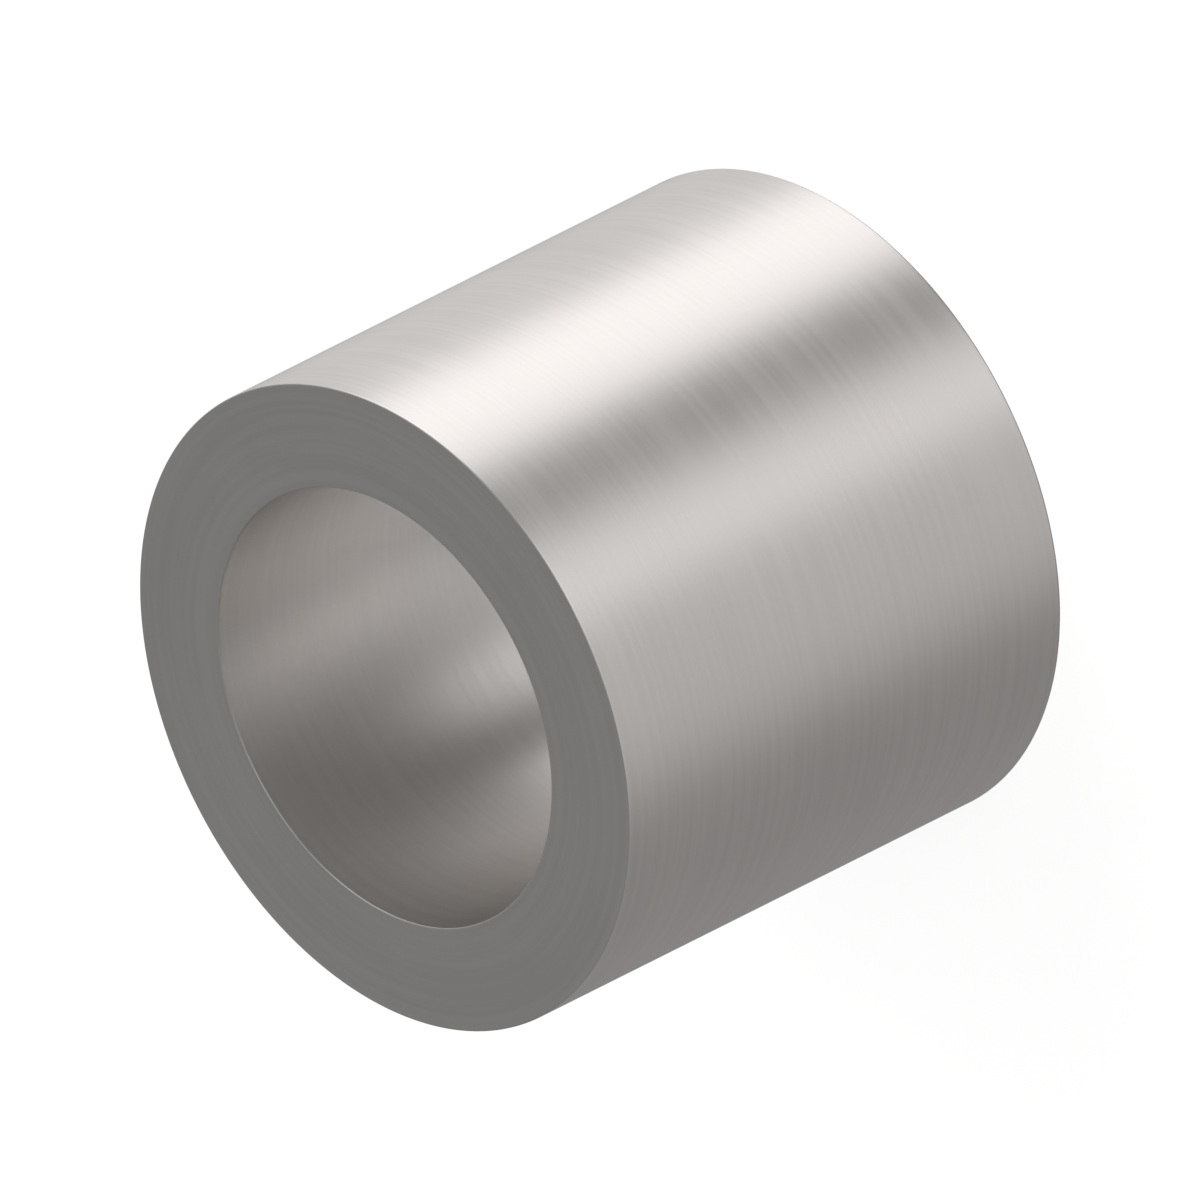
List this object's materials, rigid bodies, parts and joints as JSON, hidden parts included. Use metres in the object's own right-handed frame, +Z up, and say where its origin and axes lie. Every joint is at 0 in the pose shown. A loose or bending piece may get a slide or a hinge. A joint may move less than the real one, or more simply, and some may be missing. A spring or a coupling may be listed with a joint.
{
  "type": "spacer sleeve",
  "caption": "Plain round metal sleeve with a straight through bore and flat, square end faces, slipped over a bolt or shaft to hold the parts beside it a set distance apart.",
  "frame": {"origin": "centre of the lower end face, the one that the sleeve stands on", "axes": "+Z up along the bore axis, towards the other end face; +X and +Y are any two square directions across the sleeve, which is round and has no other direction of its own"},
  "size_m": [0.025, 0.025, 0.022],
  "materials": {
    "turned_steel": "fine turned, satin"
  },
  "bodies": {
    "root": {"sleeve": "turned_steel"}
  },
  "joints": []
}
